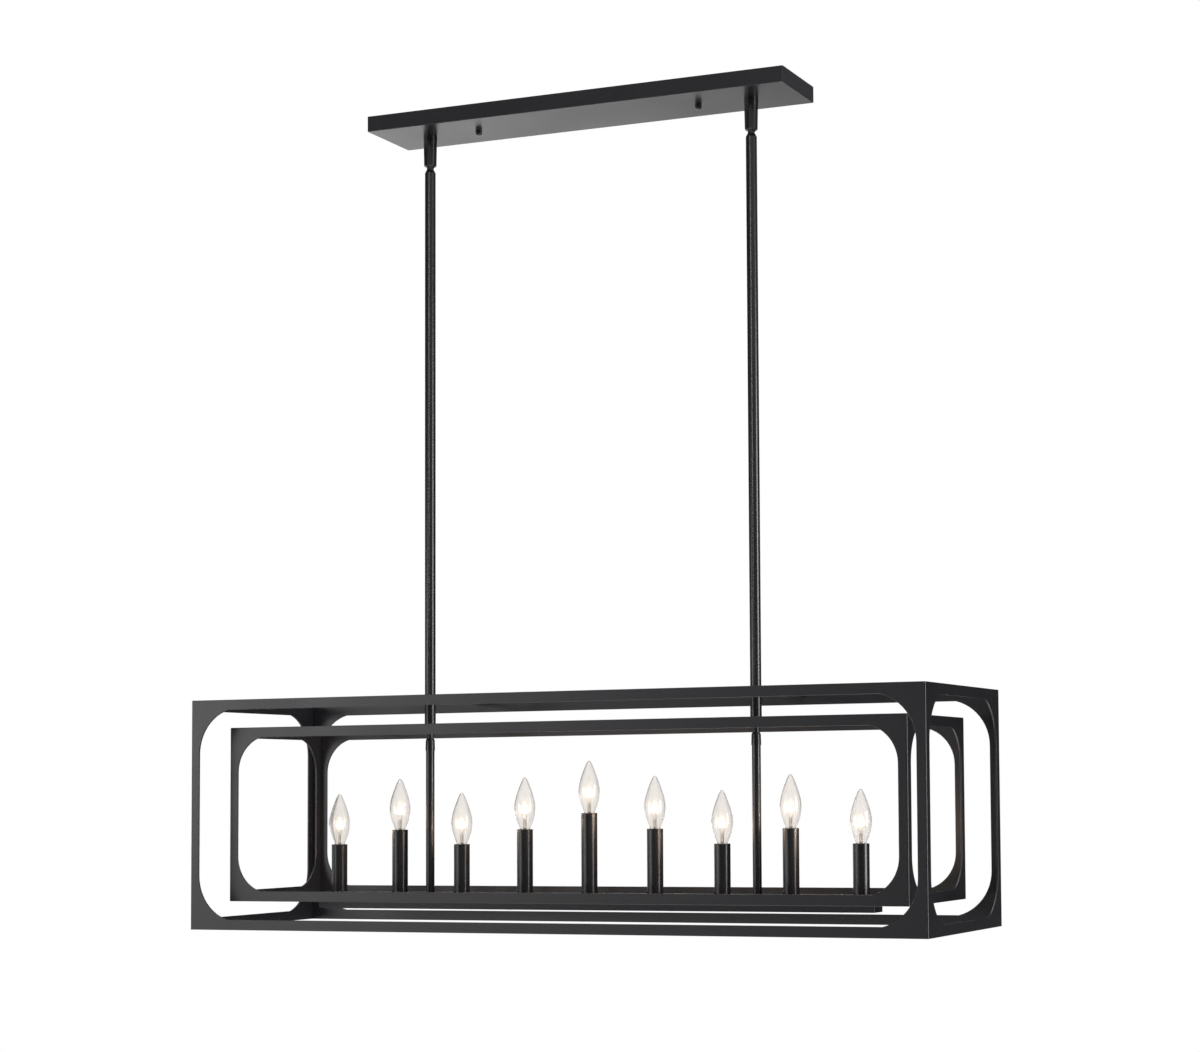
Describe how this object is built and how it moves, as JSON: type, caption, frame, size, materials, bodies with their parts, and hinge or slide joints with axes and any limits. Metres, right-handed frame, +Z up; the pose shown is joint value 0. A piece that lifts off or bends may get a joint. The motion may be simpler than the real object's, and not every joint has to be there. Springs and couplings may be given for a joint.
{
  "type": "linear island pendant light",
  "caption": "Long pendant light: two nested open rectangular cages hang on two rods from a ceiling pan, with candle lamps in a row of stepped heights.",
  "frame": {"origin": "middle of the canopy on the ceiling plane", "axes": "+Z up, +X along the fixture to its right end, +Y away from the viewer"},
  "size_m": [1.143, 0.324, 1.211],
  "materials": {
    "black_powder_coat": "satin black powder coat on steel",
    "zinc_plated_steel": "bright zinc-plated steel",
    "green_screw": "green-coated steel",
    "moulded_socket": "moulded black phenolic",
    "connector_plastic": "moulded plastic",
    "wire_insulation": "smooth wire insulation",
    "clear_glass": "clear blown glass on a nickel-plated base"
  },
  "bodies": {
    "ceiling_group": {"canopy_pan": "black_powder_coat", "ceiling_bracket": "zinc_plated_steel", "bracket_studs": "zinc_plated_steel", "cap_nuts": "black_powder_coat", "ground_screw": "green_screw", "canopy_leads": "wire_insulation", "wire_connectors": "connector_plastic", "canopy_nipples": "zinc_plated_steel", "canopy_locknuts": "zinc_plated_steel", "swivel_seat_left": "black_powder_coat", "swivel_seat_right": "black_powder_coat", "swivel_cup_left": "black_powder_coat", "swivel_cup_right": "black_powder_coat"},
    "pendant": {"swivel_ball_left": "black_powder_coat", "upper_rod_left": "black_powder_coat", "spacer_tube_left": "black_powder_coat", "stub_collar_left": "black_powder_coat", "stub_tube_left": "black_powder_coat", "swivel_ball_right": "black_powder_coat", "upper_rod_right": "black_powder_coat", "spacer_tube_right": "black_powder_coat", "stub_collar_right": "black_powder_coat", "stub_tube_right": "black_powder_coat", "outer_front_panel": "black_powder_coat", "outer_back_panel": "black_powder_coat", "outer_left_panel": "black_powder_coat", "outer_right_panel": "black_powder_coat", "inner_front_panel": "black_powder_coat", "inner_back_panel": "black_powder_coat", "inner_left_panel": "black_powder_coat", "inner_right_panel": "black_powder_coat", "outer_straps": "black_powder_coat", "inner_straps": "black_powder_coat", "bar_channel": "black_powder_coat", "bar_cover": "black_powder_coat", "cover_screws": "black_powder_coat", "cage_nipples": "black_powder_coat", "strap_nuts": "black_powder_coat", "candle_sleeve_1": "black_powder_coat", "candle_sleeve_2": "black_powder_coat", "candle_sleeve_3": "black_powder_coat", "candle_sleeve_4": "black_powder_coat", "candle_sleeve_5": "black_powder_coat", "candle_sleeve_6": "black_powder_coat", "candle_sleeve_7": "black_powder_coat", "candle_sleeve_8": "black_powder_coat", "candle_sleeve_9": "black_powder_coat", "bar_nipples": "zinc_plated_steel", "bar_nuts": "zinc_plated_steel", "lamp_sockets": "moulded_socket", "lamp_wiring": "wire_insulation"},
    "flame_lamp_1": {"lamp_1": "clear_glass"},
    "flame_lamp_2": {"lamp_2": "clear_glass"},
    "flame_lamp_3": {"lamp_3": "clear_glass"},
    "flame_lamp_4": {"lamp_4": "clear_glass"},
    "flame_lamp_5": {"lamp_5": "clear_glass"},
    "flame_lamp_6": {"lamp_6": "clear_glass"},
    "flame_lamp_7": {"lamp_7": "clear_glass"},
    "flame_lamp_8": {"lamp_8": "clear_glass"},
    "flame_lamp_9": {"lamp_9": "clear_glass"}
  },
  "joints": [
    {"name": "pendant_swing", "type": "hinge", "parent": "ceiling_group", "child": "pendant", "pos_m": [0, 0, -0.067], "axis": [1, 0, 0], "range_deg": [-20, 20]},
    {"name": "lamp_1_unscrew", "type": "slide", "parent": "pendant", "child": "flame_lamp_1", "axis": [0, 0, 1], "range_m": [0, 0.012]},
    {"name": "lamp_2_unscrew", "type": "slide", "parent": "pendant", "child": "flame_lamp_2", "axis": [0, 0, 1], "range_m": [0, 0.012]},
    {"name": "lamp_3_unscrew", "type": "slide", "parent": "pendant", "child": "flame_lamp_3", "axis": [0, 0, 1], "range_m": [0, 0.012]},
    {"name": "lamp_4_unscrew", "type": "slide", "parent": "pendant", "child": "flame_lamp_4", "axis": [0, 0, 1], "range_m": [0, 0.012]},
    {"name": "lamp_5_unscrew", "type": "slide", "parent": "pendant", "child": "flame_lamp_5", "axis": [0, 0, 1], "range_m": [0, 0.012]},
    {"name": "lamp_6_unscrew", "type": "slide", "parent": "pendant", "child": "flame_lamp_6", "axis": [0, 0, 1], "range_m": [0, 0.012]},
    {"name": "lamp_7_unscrew", "type": "slide", "parent": "pendant", "child": "flame_lamp_7", "axis": [0, 0, 1], "range_m": [0, 0.012]},
    {"name": "lamp_8_unscrew", "type": "slide", "parent": "pendant", "child": "flame_lamp_8", "axis": [0, 0, 1], "range_m": [0, 0.012]},
    {"name": "lamp_9_unscrew", "type": "slide", "parent": "pendant", "child": "flame_lamp_9", "axis": [0, 0, 1], "range_m": [0, 0.012]}
  ]
}
